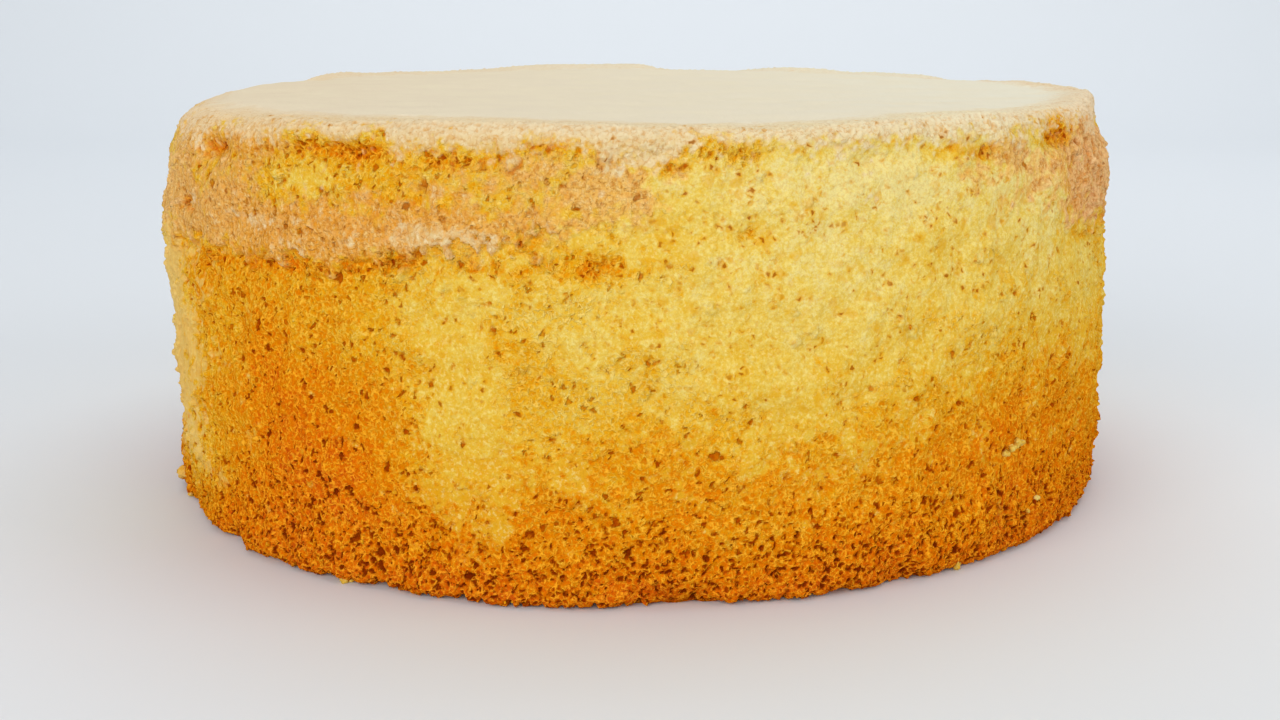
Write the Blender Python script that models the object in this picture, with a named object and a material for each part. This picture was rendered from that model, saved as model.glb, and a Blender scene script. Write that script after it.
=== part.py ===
"""Plain sponge cake, whole and uncut, turned out of its round tin and standing on its base.

Metres, +Z up. The origin is the middle of the base. A bearing is an angle round the cake in degrees:
0 is the front (-Y), 90 the right side (+X), 180 the back and -90 the left side.
"""

import math
from collections import namedtuple

import bmesh
import bpy
from mathutils import Vector, geometry, noise

NODE = "sponge_cake"

# Driving dimensions.
CAKE_RADIUS = 0.100          # inside of the tin
CAKE_HEIGHT = 0.0815         # base to the flat of the top
FOOT_ROUND = 0.0022          # worn edge round the base

# Mesh steps.
COLUMNS = 150                # round the wall
FOOT_ROWS = 3                # over the foot's round
CRUMB_ROWS = 12              # from the foot to the skin's lower edge
SKIN_ROWS = 6                # from that edge to the shoulder
SHOULDER_ROWS = 4            # over the shoulder
TOP_STEP = 0.0068            # between points on the top
INSIDE_EDGES = 1             # the triangulation's kind: only inside the rim
CLOSEST = 1e-6               # points nearer than this are one

# The shoulder that turns from wall to top: bearing, inset of the top's edge, drop from the top to the wall.
SHOULDER = (
    (-180, 0.0030, 0.0035),
    (-135, 0.0040, 0.0050),
    (-100, 0.0110, 0.0125),
    (-72, 0.0120, 0.0130),
    (-52, 0.0060, 0.0080),
    (-30, 0.0030, 0.0035),
    (20, 0.0028, 0.0030),
    (45, 0.0040, 0.0050),
    (68, 0.0056, 0.0080),
    (95, 0.0045, 0.0065),
    (130, 0.0030, 0.0040),
)

# How far the top's edge stands over or under the flat of the top: bearing, rise.
RIM_RISE = (
    (-180, 0.0012),
    (-168, 0.0011),
    (-150, 0.0000),
    (-126, 0.0006),
    (-119, -0.0008),
    (-100, -0.0010),
    (-60, -0.0010),
    (-30, 0.0000),
    (40, 0.0003),
    (76, 0.0009),
    (96, -0.0001),
    (108, -0.0001),
    (125, -0.0011),
    (134, 0.0002),
    (143, -0.0001),
    (155, 0.0006),
    (166, -0.0006),
    (175, -0.0003),
)

# The baked skin that still clings to the upper wall: bearing, height of its torn lower edge, and how
# proud it stands.
SKIN = (
    (-180, 0.0660, 0.0006),
    (-140, 0.0600, 0.0009),
    (-105, 0.0680, 0.0005),
    (-74, 0.0545, 0.0015),
    (-58, 0.0565, 0.0009),
    (-40, 0.0570, 0.0007),
    (-25, 0.0580, 0.0007),
    (-12, 0.0620, 0.0006),
    (0, 0.0660, 0.0002),
    (30, 0.0690, 0.0000),
    (46, 0.0650, 0.0002),
    (56, 0.0595, 0.0008),
    (74, 0.0585, 0.0010),
    (90, 0.0640, 0.0007),
    (120, 0.0700, 0.0004),
    (150, 0.0690, 0.0006),
)
SKIN_EDGE = 0.0007           # height over which the torn edge steps out
GROOVE_DEPTH = 0.5           # of how proud the skin stands: the hollow torn out of the crumb below its edge
GROOVE_REACH = 0.0030

# How far the foot spreads past the wall or draws in under it: bearing, spread.
FOOT_SPREAD = (
    (-180, 0.0002),
    (-110, -0.0004),
    (-78, 0.0006),
    (-65, -0.0012),
    (-56, 0.0002),
    (-38, 0.0010),
    (-14, 0.0009),
    (7, -0.0019),
    (23, -0.0004),
    (34, -0.0007),
    (60, -0.0004),
    (110, 0.0005),
    (150, -0.0007),
)
FOOT_REACH = 0.0100          # height by which the spread has died away

# Bulges and hollows of the wall, and the crevices and pits deep enough to feel.
Patch = namedtuple("Patch", "bearing height half_angle half_height rise")
PATCHES = (
    # swells and flats of the wall
    Patch(76, 0.026, 20.0, 0.020, 0.0008),
    Patch(-76, 0.028, 16.0, 0.018, -0.0006),
    Patch(150, 0.035, 24.0, 0.025, 0.0005),
    Patch(-135, 0.040, 22.0, 0.022, -0.0006),
    # the upper wall drawn in at both sides
    Patch(-74, 0.0705, 16.0, 0.0080, -0.0030),
    Patch(74, 0.0775, 13.0, 0.0045, -0.0036),
    Patch(74, 0.0600, 14.0, 0.0075, -0.0014),
    # ragged crevice under the top's skin
    Patch(-46, 0.0755, 3.0, 0.0022, -0.0011),
    Patch(-31, 0.0762, 6.5, 0.0022, -0.0015),
    Patch(-14, 0.0764, 4.0, 0.0020, -0.0011),
    Patch(3, 0.0768, 4.0, 0.0018, -0.0009),
    Patch(24, 0.0752, 4.0, 0.0020, -0.0012),
    Patch(120, 0.0740, 5.0, 0.0022, -0.0013),
    Patch(-150, 0.0745, 6.0, 0.0022, -0.0014),
    # torn holes
    Patch(-50, 0.0748, 2.2, 0.0026, -0.0018),
    Patch(-57, 0.0640, 2.2, 0.0022, -0.0013),
    Patch(48.5, 0.0762, 2.6, 0.0036, -0.0022),
    Patch(-3, 0.0590, 2.6, 0.0020, -0.0013),
    Patch(11, 0.0640, 2.4, 0.0020, -0.0012),
    Patch(165, 0.0560, 3.0, 0.0025, -0.0018),
    # notches along the foot
    Patch(-50, 0.0000, 2.4, 0.0024, -0.0022),
    Patch(5, 0.0005, 2.8, 0.0024, -0.0014),
    Patch(28, 0.0010, 2.8, 0.0028, -0.0019),
    Patch(92, 0.0000, 3.0, 0.0026, -0.0020),
    Patch(-128, 0.0000, 2.6, 0.0024, -0.0020),
    Patch(172, 0.0005, 2.8, 0.0026, -0.0018),
)

# Unevenness everywhere: size of the lumps, and their height.
WALL_WAVES = (0.0320, 0.0009)
CRUMB_LUMPS = (0.0085, 0.0010)
CRUMB_GRAIN = (0.0038, 0.0007)
TOP_WAVES = (0.0450, 0.0008)
TOP_GRAIN = (0.0090, 0.0003)
MESH_JITTER = 0.45           # of the spacing between points, so that no column or row shows
ROW_JITTER_SEED = Vector((0.3, 0.7, 0.5))
COLUMN_JITTER_SEED = Vector((0.6, 0.2, 9.5))
JITTER_STEP = 1.37           # how far apart two neighbours read the noise

# Finishes: name, colour, roughness.
FINISHES = (
    ("golden_crumb", (0.68, 0.33, 0.06, 1.0), 0.85),
    ("pale_top_crust", (0.78, 0.62, 0.41, 1.0), 0.75),
    ("clinging_skin", (0.68, 0.38, 0.17, 1.0), 0.80),
)
CRUMB_SLOT, CRUST_SLOT, SKIN_SLOT = range(len(FINISHES))
SKIN_SHOWS = 0.0005          # how proud the skin stands where it is thick enough to colour the wall
SHARP_ANGLE = math.radians(60)


def eased(bearing, knots):
    """Values at a bearing, eased from one knot to the next and wrapped round the back."""
    around = knots + ((knots[0][0] + 360, *knots[0][1:]),)
    for (low, *lows), (high, *highs) in zip(around, around[1:]):
        if low <= bearing <= high:
            share = (bearing - low) / (high - low)
            share = share * share * (3 - 2 * share)
            return [a + (b - a) * share for a, b in zip(lows, highs)]
    raise ValueError(f"no knots round bearing {bearing}")


def smooth_step(low, high, value):
    """0 below low, 1 above high, eased between."""
    share = min(max((value - low) / (high - low), 0.0), 1.0)
    return share * share * (3 - 2 * share)


def place(bearing, radius, height):
    """Point at a bearing."""
    angle = math.radians(bearing)
    return Vector((radius * math.sin(angle), -radius * math.cos(angle), height))


def lumps(point, size_and_height):
    """Smooth random rise or fall at a point, the same each time."""
    size, height = size_and_height
    return height * noise.noise(point / size)


def patch_rise(bearing, height):
    """Sum of the named bulges and hollows at a place on the wall."""
    rise = 0.0
    for patch in PATCHES:
        turn = (bearing - patch.bearing + 180) % 360 - 180
        away = (turn / patch.half_angle) ** 2 + ((height - patch.height) / patch.half_height) ** 2
        rise += patch.rise * math.exp(-away)
    return rise


def skin_rise(bearing, height):
    """The skin's step out above its torn edge, and the groove in the crumb below it."""
    edge, proud = eased(bearing, SKIN)
    step = proud * smooth_step(-SKIN_EDGE, SKIN_EDGE, height - edge)
    if height >= edge:
        return step
    below = (edge - height) / GROOVE_REACH
    return step - GROOVE_DEPTH * proud * math.exp(-below * below)


def wall_radius(bearing, height):
    """Radius of the wall, before foot and shoulder are rounded."""
    point = place(bearing, CAKE_RADIUS, height)
    foot = eased(bearing, FOOT_SPREAD)[0] * (1 - smooth_step(0.0, FOOT_REACH, height))
    uneven = lumps(point, WALL_WAVES) + lumps(point, CRUMB_LUMPS) + lumps(point, CRUMB_GRAIN)
    return CAKE_RADIUS + foot + uneven + patch_rise(bearing, height) + skin_rise(bearing, height)


def top_height(point):
    """Height of the top over or under a point, without its edge's rise."""
    flat = point.xy.to_3d()
    return CAKE_HEIGHT + lumps(flat, TOP_WAVES) + lumps(flat, TOP_GRAIN)


def wall_rows(bearing):
    """Height, share of the foot's round and share of the shoulder's, for each row up the wall."""
    _, drop = eased(bearing, SHOULDER)
    edge, _ = eased(bearing, SKIN)
    top = CAKE_HEIGHT + eased(bearing, RIM_RISE)[0]
    shoulder = top - drop
    rows = []
    for i in range(FOOT_ROWS):
        turn = math.radians(90 * i / FOOT_ROWS)
        rows.append((FOOT_ROUND * (1 - math.cos(turn)), 1 - math.sin(turn), 0.0))
    below, above = edge - SKIN_EDGE, edge + SKIN_EDGE
    for i in range(CRUMB_ROWS + 1):
        rows.append((FOOT_ROUND + (below - FOOT_ROUND) * i / CRUMB_ROWS, 0.0, 0.0))
    for i in range(SKIN_ROWS):
        rows.append((above + (shoulder - above) * i / SKIN_ROWS, 0.0, 0.0))
    for i in range(SHOULDER_ROWS + 1):
        turn = math.radians(90 * i / SHOULDER_ROWS)
        rows.append((shoulder + drop * math.sin(turn), 0.0, 1 - math.cos(turn)))
    return rows


def wall_point(column, row):
    """Point of the wall's grid, moved a little off its column and row so that neither shows."""
    column_step = 360 / COLUMNS
    rows = wall_rows(column * column_step - 180)
    height, foot, shoulder = rows[row]
    spot = Vector((column, row, 0)) * JITTER_STEP
    if 0 < row < len(rows) - 1:
        room = min(height - rows[row - 1][0], rows[row + 1][0] - height)
        height += MESH_JITTER * noise.noise(ROW_JITTER_SEED + spot) * room
    shift = MESH_JITTER * noise.noise(COLUMN_JITTER_SEED + spot)
    bearing = ((column + shift) * column_step) % 360 - 180
    inset, _ = eased(bearing, SHOULDER)
    radius = wall_radius(bearing, height) - FOOT_ROUND * foot - inset * shoulder
    point = place(bearing, radius, height)
    point.z += shoulder * (top_height(point) - CAKE_HEIGHT)
    return point


def add_wall(bm):
    """Rows of vertices from the base's edge over foot, wall and shoulder, joined by faces facing out."""
    count = len(wall_rows(0.0))
    grid = [[bm.verts.new(wall_point(column, row)) for column in range(COLUMNS)] for row in range(count)]
    for lower, upper in zip(grid, grid[1:]):
        for column in range(COLUMNS):
            after = (column + 1) % COLUMNS
            corners = (lower[column], lower[after], upper[after], upper[column])
            bm.faces.new(corners).material_index = wall_slot(corners)
    return grid[0], grid[-1]


def wall_slot(corners):
    """Material slot of a wall face: skin where it clings above its torn edge, crumb elsewhere."""
    middle = sum((corner.co for corner in corners), Vector()) / len(corners)
    bearing = math.degrees(math.atan2(middle.x, -middle.y))
    edge, proud = eased(bearing, SKIN)
    return SKIN_SLOT if middle.z > edge and proud > SKIN_SHOWS else CRUMB_SLOT


def add_top(bm, rim):
    """Even triangles over the top, inwards from the rim."""
    reach = min(vertex.co.xy.length for vertex in rim) - TOP_STEP / 2
    row_step = TOP_STEP * math.sqrt(3) / 2
    rows = int(reach / row_step)
    inner = []
    for i in range(-rows, rows + 1):
        for j in range(-rows - 1, rows + 2):
            spot = Vector(((j + 0.5 * (i % 2)) * TOP_STEP, i * row_step))
            if spot.length < reach:
                inner.append(spot)
    flat = [vertex.co.xy for vertex in rim] + inner
    edges = [(i, (i + 1) % len(rim)) for i in range(len(rim))]
    _, _, faces, origins, _, _ = geometry.delaunay_2d_cdt(flat, edges, [], INSIDE_EDGES, CLOSEST)
    verts = list(rim)
    for spot in inner:
        point = spot.to_3d()
        point.z = top_height(point)
        verts.append(bm.verts.new(point))
    for face in faces:
        corners = [verts[origins[i][0]] for i in face]
        bm.faces.new(corners).material_index = CRUST_SLOT


def make_material(name, colour, roughness):
    material = bpy.data.materials.new(name)
    material.use_nodes = True
    shader = material.node_tree.nodes["Principled BSDF"]
    shader.inputs["Base Color"].default_value = colour
    shader.inputs["Roughness"].default_value = roughness
    shader.inputs["Metallic"].default_value = 0.0
    material.diffuse_color = colour
    return material


def make_cake():
    bm = bmesh.new()
    foot, rim = add_wall(bm)
    bm.faces.new(list(reversed(foot)))
    add_top(bm, rim)
    mesh = bpy.data.meshes.new(NODE)
    bm.to_mesh(mesh)
    bm.free()
    for finish in FINISHES:
        mesh.materials.append(make_material(*finish))
    mesh.shade_smooth()
    mesh.set_sharp_from_angle(angle=SHARP_ANGLE)
    cake = bpy.data.objects.new(NODE, mesh)
    bpy.context.scene.collection.objects.link(cake)
    return cake


def main():
    for old in list(bpy.data.objects):
        bpy.data.objects.remove(old, do_unlink=True)
    make_cake()


main()
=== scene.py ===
"""Looks of a plain sponge cake: porous crumb, clinging skin, pale top crust and crumbs, round its solid.

Metres, +Z up, origin in the middle of the base. A bearing is an angle round the cake in degrees:
0 is the front (-Y), 90 the right side (+X), 180 the back and -90 the left side.
"""
import math

import bmesh
import bpy
import numpy as np
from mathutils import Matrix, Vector, noise


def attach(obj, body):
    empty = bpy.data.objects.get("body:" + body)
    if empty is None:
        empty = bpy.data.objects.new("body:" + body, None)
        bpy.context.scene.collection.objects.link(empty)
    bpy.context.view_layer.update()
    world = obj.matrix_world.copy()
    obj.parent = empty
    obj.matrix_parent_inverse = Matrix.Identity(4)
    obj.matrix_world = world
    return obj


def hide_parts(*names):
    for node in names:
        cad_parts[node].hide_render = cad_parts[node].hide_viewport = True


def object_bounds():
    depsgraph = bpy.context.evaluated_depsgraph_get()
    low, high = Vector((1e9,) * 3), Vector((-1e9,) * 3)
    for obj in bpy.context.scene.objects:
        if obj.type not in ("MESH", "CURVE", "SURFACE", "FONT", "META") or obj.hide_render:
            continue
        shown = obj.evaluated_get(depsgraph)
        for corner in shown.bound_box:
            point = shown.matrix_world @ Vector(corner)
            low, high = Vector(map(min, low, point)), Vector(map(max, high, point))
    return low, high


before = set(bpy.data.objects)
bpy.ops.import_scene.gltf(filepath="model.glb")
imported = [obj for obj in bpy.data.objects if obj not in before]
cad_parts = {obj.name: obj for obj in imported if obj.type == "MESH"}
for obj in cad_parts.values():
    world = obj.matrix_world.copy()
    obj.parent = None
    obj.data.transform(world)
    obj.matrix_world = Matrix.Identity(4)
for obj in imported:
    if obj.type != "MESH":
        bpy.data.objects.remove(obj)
cad_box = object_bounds()

NODE = "sponge_cake"

# -------- shape: the solid's, a little corrected

CAKE_RADIUS = 0.100
CAKE_HEIGHT = 0.0815
FOOT_ROUND = 0.0022

# Shoulder: bearing, inset of the top's edge, drop from the top to the wall.
SHOULDER = (
    (-180, 0.003, 0.0035), (-135, 0.004, 0.005), (-100, 0.011, 0.0125),
    (-72, 0.012, 0.013), (-52, 0.006, 0.008), (-30, 0.003, 0.0035),
    (20, 0.0028, 0.003), (45, 0.004, 0.005), (68, 0.0056, 0.008),
    (95, 0.0045, 0.0065), (130, 0.003, 0.004),
)

# The top's edge over or under the flat of the top: bearing, rise.
RIM_RISE = (
    (-180, 0.0012), (-168, 0.0011), (-150, 0.0), (-126, 0.0006), (-119, -0.0008),
    (-100, -0.001), (-60, -0.001), (-30, 0.0), (40, 0.0003), (76, 0.0009),
    (96, -0.0001), (108, -0.0001), (125, -0.0011), (134, 0.0002), (143, -0.0001),
    (155, 0.0006), (166, -0.0006), (175, -0.0003),
)

# Skin that still clings to the upper wall: bearing, height of its torn lower edge, and how proud it stands.
SKIN = (
    (-180, 0.066, 0.0006), (-140, 0.06, 0.0009), (-105, 0.068, 0.0005),
    (-74, 0.0545, 0.0005), (-58, 0.0565, 0.0009), (-40, 0.057, 0.0007),
    (-25, 0.058, 0.0007), (-12, 0.062, 0.0006), (0, 0.066, 0.0002),
    (30, 0.069, 0.0), (46, 0.065, 0.0002), (56, 0.0595, 0.0006),
    (74, 0.0585, 0.0006), (90, 0.064, 0.0007), (120, 0.07, 0.0004),
    (150, 0.069, 0.0006),
)
SKIN_EDGE = 0.0004
SKIN_EDGE_SIDES = 0.0020     # so much softer where the photo shows it from the side
GROOVE_DEPTH = 0.5
GROOVE_REACH = 0.0030

# Spread of the foot past the wall: bearing, spread.
FOOT_SPREAD = (
    (-180, 0.0002), (-110, -0.0004), (-78, 0.0006), (-65, -0.0012), (-56, 0.0002),
    (-38, 0.001), (-14, 0.0009), (7, -0.0019), (23, -0.0004), (34, -0.0007),
    (60, -0.0004), (110, 0.0005), (150, -0.0007),
)
FOOT_REACH = 0.0100
NOTCH = 0.0006               # depth of the small notches along the lower edge, and how far up they reach
NOTCH_REACH = 0.0022

# The tables of patches hold the bearing and height of each one's middle, its half angle and half height,
# and the amount there. This one is the wall's relief.
RELIEF = (
    # swells and flats of the wall
    (76, 0.026, 20, 0.02, 0.0008), (-76, 0.028, 16, 0.018, -0.0006),
    (150, 0.035, 24, 0.025, 0.0005), (-135, 0.04, 22, 0.022, -0.0006),
    # the upper wall drawn in at both sides
    (-74, 0.0705, 16, 0.008, -0.0024), (74, 0.0775, 13, 0.0045, -0.0036),
    (76, 0.075, 15, 0.008, -0.0014), (76, 0.05, 12, 0.005, -0.0008),
    (74, 0.06, 14, 0.0075, -0.0014),
    # ragged crevice under the top's skin
    (-46, 0.0755, 3, 0.0022, -0.0011), (-31, 0.0762, 6.5, 0.0022, -0.0015),
    (-14, 0.0764, 4, 0.002, -0.0011), (3, 0.0768, 4, 0.0018, -0.0009),
    (24, 0.0752, 4, 0.002, -0.0012), (120, 0.074, 5, 0.0022, -0.0013),
    (-150, 0.0745, 6, 0.0022, -0.0014),
    # torn holes
    (-50, 0.0748, 2.2, 0.0026, -0.0018), (-57, 0.064, 2.2, 0.0022, -0.0013),
    (50, 0.0768, 2.6, 0.0036, -0.0022), (-3, 0.059, 2.6, 0.002, -0.0013),
    (11, 0.064, 2.4, 0.002, -0.0012), (165, 0.056, 3, 0.0025, -0.0018),
    # notches along the foot
    (-50, 0.0, 2.4, 0.0024, -0.0022), (5, 0.0005, 2.8, 0.0024, -0.0014),
    (28, 0.001, 2.8, 0.0028, -0.0019), (92, 0.0, 3, 0.0026, -0.002),
    (-128, 0.0, 2.6, 0.0024, -0.002), (172, 0.0005, 2.8, 0.0026, -0.0018),
)

# Skin with upright wrinkles, and how high they stand.
WRINKLED = (
    (69, 0.069, 11, 0.011, 1.0), (-70, 0.068, 12, 0.011, 0.6),
)
WRINKLE = 0.00045

WALL_WAVES = (0.0320, 0.0009)
CRUMB_LUMPS = (0.0085, 0.0010)
CRUMB_GRAIN = (0.0038, 0.0007)
TOP_WAVES = (0.0450, 0.0008)
TOP_GRAIN = (0.0090, 0.0003)

FRAY = (0.0012, 0.006)       # shortest and longest waves of frayed edges
RAGS = (0.006, 0.02)         # and of the wider rags in them
SIDES = (48, 60, 84, 96)     # bearings between which the rougher sides come up and die away
RIM = (0.0925, 0.0985)       # radii over which the top turns from smooth to grainy

# Round pores and grains: spacing, least and greatest radius.
SMALL_PORES = (0.0015, (0.00028, 0.00062))
MIDDLE_PORES = (0.0026, (0.00045, 0.00085))
WIDE_PORES = (0.0042, (0.00050, 0.00095))
GRAINS = (0.0013, (0.00022, 0.00050))
CRUST_PITS = (0.0013, (0.00020, 0.00042))
CRAGS = (0.0030, (0.00045, 0.00100))
DENTS = (0.0028, (0.00040, 0.00100))

# -------- browning, 0 pale to 1 deep brown

# Browning by height, deepest at the foot: real browning from the tin, with painted shade along the foot as
# well.
BAKE_BY_HEIGHT = ((0.000, 1.00), (0.004, 0.93), (0.010, 0.80), (0.022, 0.59), (0.034, 0.41), (0.046, 0.35),
                  (0.058, 0.30), (0.068, 0.27), (0.080, 0.30))
BAKE = (
    # the deep orange left and the pale far left
    (-40, 0.048, 15, 0.018, 0.26), (-36, 0.024, 11, 0.014, 0.31),
    (-58, 0.056, 10, 0.014, 0.14), (-20, 0.066, 16, 0.008, 0.18),
    (-18, 0.022, 7, 0.011, -0.12), (-62, 0.012, 11, 0.013, -0.36),
    (-72, 0.045, 8, 0.022, -0.22),
    # the pale upper right and the darker edge of it
    (21, 0.062, 14, 0.012, -0.1), (7, 0.052, 16, 0.012, -0.06),
    (54, 0.034, 12, 0.016, 0.16), (40, 0.03, 11, 0.01, 0.12),
    (70, 0.064, 8, 0.012, 0.14), (28, 0.074, 20, 0.0065, -0.26),
    (47, 0.067, 6, 0.008, -0.14), (37, 0.0748, 5, 0.0028, 0.16),
    (58, 0.048, 8, 0.012, -0.1), (-38, 0.034, 12, 0.01, 0.08),
    (-24.5, 0.021, 4, 0.009, 0.08), (-25, 0.033, 3, 0.005, 0.08),
    (-10.5, 0.045, 2.6, 0.005, 0.13), (-37, 0.042, 3.5, 0.006, -0.08),
    (0, 0.024, 9, 0.005, 0.07), (33, 0.022, 12, 0.006, 0.07),
    (2, 0.008, 8, 0.004, -0.1), (11.5, 0.0115, 4, 0.005, -0.08),
    (-2, 0.06, 11, 0.005, 0.08), (16, 0.048, 8, 0.007, -0.05),
    (38, 0.045, 4, 0.006, -0.08), (49, 0.055, 7, 0.01, -0.1),
    (62, 0.04, 6, 0.008, 0.05), (50, 0.016, 13, 0.007, 0.09),
    (-17, 0.0605, 5, 0.003, -0.06), (-6.2, 0.036, 5, 0.006, -0.1),
    (11, 0.028, 4, 0.005, -0.05),
    # the sides and the back
    (100, 0.028, 16, 0.02, 0.2), (128, 0.036, 9, 0.026, -0.12),
    (150, 0.026, 12, 0.018, 0.22), (178, 0.044, 14, 0.022, -0.1),
    (-152, 0.034, 14, 0.022, 0.26), (-122, 0.04, 8, 0.024, -0.14),
    (-98, 0.03, 12, 0.02, 0.22),
)

# Bare windows under the top's crust and torn holes, where the crumb lies open: how much browner it is there.
WINDOWS = (
    (-46, 0.0757, 4, 0.0018, 0.14), (-31, 0.0766, 6.2, 0.002, 0.23),
    (-26.5, 0.0766, 2.5, 0.0014, 0.18), (-18.5, 0.0755, 2.2, 0.0018, 0.22),
    (-14, 0.0758, 3, 0.0016, 0.14), (-8, 0.0783, 2.2, 0.0013, 0.21),
    (3.6, 0.0752, 1.5, 0.0014, 0.24), (7, 0.0778, 1.6, 0.0012, 0.14),
    (11, 0.0768, 2, 0.0015, 0.18), (17, 0.0768, 1.6, 0.0012, 0.14),
    (22, 0.0783, 1.6, 0.001, 0.14), (27, 0.0782, 1.8, 0.0012, 0.18),
    (31.5, 0.0765, 2.4, 0.0016, 0.28), (37, 0.0757, 3, 0.0018, 0.26),
    (42.5, 0.079, 1, 0.001, 0.14), (51, 0.0776, 3, 0.0034, 0.34),
    (-50, 0.0752, 2, 0.003, 0.28), (-57, 0.064, 2, 0.0026, 0.26),
    (-49, 0.055, 2, 0.0014, 0.14), (-38, 0.056, 4, 0.0013, 0.22),
    (-30, 0.0564, 3, 0.0013, 0.1), (-25.5, 0.058, 2.6, 0.0015, 0.2),
    (-22.8, 0.0598, 1.4, 0.0013, 0.26), (-13.8, 0.0583, 2.2, 0.0015, 0.17),
    (-3, 0.059, 2.2, 0.0018, 0.24), (11, 0.064, 2, 0.0018, 0.2),
    (52, 0.0665, 1.3, 0.006, 0.2), (59, 0.0575, 5, 0.0014, 0.18),
    (120, 0.0745, 5, 0.0018, 0.2), (-150, 0.0745, 6, 0.002, 0.22),
    (165, 0.056, 3, 0.0025, 0.22),
)

# Where more of the crumb's cells are torn open, and so drawn dark with painted shade, than the height alone
# says.
OPENED = (
    (-36, 0.067, 24, 0.01, 0.4), (-44, 0.046, 18, 0.016, 0.22),
    (-2, 0.062, 9, 0.01, 0.25), (44, 0.03, 22, 0.014, 0.25),
    # The first patch on the line below keeps the front foot's cells closed and paler: painted light against
    # the shade where the foot slopes inward.
    (8, 0.008, 11, 0.01, -0.32), (-2, 0.004, 7, 0.005, -0.2),
    (66, 0.07, 12, 0.01, 0.35), (150, 0.068, 30, 0.01, 0.4),
    (-130, 0.066, 26, 0.01, 0.4),
)

# Where a smooth pale film still covers the crumb, 0 to 1.
FILM = (
    (19, 0.054, 27, 0.0245, 1.25), (15, 0.03, 12, 0.009, 0.25),
    (31, 0.037, 8, 0.007, -0.22), (3, 0.035, 7, 0.006, -0.22),
    (3, 0.0665, 4, 0.004, 0.5), (-16.8, 0.034, 5.8, 0.026, 1.1),
    (-11.5, 0.041, 3, 0.01, -0.45), (-7, 0.024, 5, 0.008, 0.35),
    (-33.5, 0.0722, 4.5, 0.0028, 1.1), (-67, 0.036, 11, 0.032, 1.2),
    (60, 0.048, 12, 0.018, 0.95), (46, 0.066, 7, 0.0075, 0.9),
    (30, 0.0725, 20, 0.0075, 1.1), (24, 0.0762, 7, 0.0026, 0.9),
    (124, 0.04, 14, 0.026, 1.1), (176, 0.05, 20, 0.022, 1.1),
    (-122, 0.042, 12, 0.026, 1.0),
)

# Where the clinging skin is thick enough to colour the wall tan, 0 to 1.
TAN = (
    (-42, 0.0618, 22, 0.0055, 0.9), (-18, 0.064, 9, 0.0045, 0.7),
    (-32, 0.07, 26, 0.008, 0.42), (-33.5, 0.0722, 5, 0.003, -0.8),
    (-66, 0.068, 15, 0.011, 0.8), (-54, 0.077, 11, 0.0034, 0.65),
    (-43, 0.0772, 9, 0.0028, 0.7), (-5, 0.0745, 10, 0.004, 0.55),
    (-2, 0.0685, 5, 0.006, 0.62), (66, 0.0695, 14, 0.011, 1.5),
    (38, 0.0748, 6, 0.0034, 0.75), (47, 0.0715, 9, 0.006, 0.42),
    (64, 0.0775, 9, 0.004, 0.8), (96, 0.072, 16, 0.007, 0.7),
    (150, 0.073, 24, 0.006, 0.7), (-150, 0.068, 22, 0.008, 0.8),
    (-105, 0.073, 18, 0.006, 0.6),
)

# Pale flakes of crust on the skin.
FLAKES = (
    (-42, 0.0634, 4, 0.0014, 0.6), (-34.5, 0.0643, 2.5, 0.0012, 0.5),
    (-35, 0.06, 5, 0.002, 0.3), (-17.5, 0.0628, 5, 0.0026, 0.75),
    (-13, 0.061, 3, 0.0016, 0.5), (-55, 0.0655, 3, 0.0014, 0.4),
    (-160, 0.069, 9, 0.003, 0.6), (100, 0.072, 6, 0.0024, 0.5),
)

# Lower edge of the top's pale crust on the wall: bearing, height.
CRUST_EDGE = (
    (-180, 0.078), (-120, 0.0772), (-60, 0.076), (-45, 0.078), (-38, 0.079),
    (-30, 0.0788), (-24.5, 0.0792), (-21, 0.0777), (-17, 0.0771), (-12, 0.0775),
    (-8, 0.0787), (-5, 0.0783), (-2, 0.0758), (2, 0.0758), (5, 0.0792),
    (14, 0.0787), (20, 0.0783), (27, 0.0787), (38, 0.0776), (46, 0.0778),
    (56, 0.0782), (66, 0.0758), (84, 0.0762), (100, 0.0782), (140, 0.0778),
)

# Pits and burst bubbles in the top: bearing, radius, size and depth.
TOP_PITS = (
    (-26.5, 0.088, 0.0011, 0.0007), (-41, 0.0925, 0.0007, 0.0004), (-12, 0.093, 0.0006, 0.0004),
    (9, 0.0915, 0.0007, 0.0004), (33, 0.093, 0.0008, 0.0004), (57, 0.0915, 0.0007, 0.0004),
    (98, 0.09, 0.001, 0.0006), (151, 0.0925, 0.0008, 0.0005), (-138, 0.0905, 0.001, 0.0006),
    (-92, 0.0915, 0.0008, 0.0005),
)

# Pale crumbs that cling to the wall or lie at the foot: bearing, height and rough radius.
CRUMBS = (
    (43.4, 0.0214, 0.00095), (44.3, 0.022, 0.001), (42.7, 0.0204, 0.0007),
    (45.1, 0.0215, 0.00065), (49.3, 0.0094, 0.0006), (49.5, 0.0104, 0.00045),
    (48, 0.0072, 0.00055), (21.9, 0.0236, 0.0006), (-31.3, 0.0006, 0.00085),
    (-30.5, 0.0005, 0.0005), (36.6, 0.0008, 0.00075), (-69.4, 0.0006, 0.0009),
    (-72, 0.0038, 0.0012), (-73.5, 0.003, 0.0008), (127, 0.018, 0.001),
    (128.1, 0.0187, 0.0008), (-156, 0.0095, 0.0009),
)
LOOSE_CRUMBS = 70            # small ones anywhere
LOOSE_CRUMB_RADIUS = (0.00022, 0.00048)                      # least and greatest
LOOSE_CRUMBS_UP_TO = 0.060   # how high on the wall they sit, above the lowest
CRUMB_ROUGHNESS = ((0.45, 1.1), (0.40, 2.6), (0.22, 6.0))    # share of its radius, waves in its radius

# -------- the grid of the outside

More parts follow.
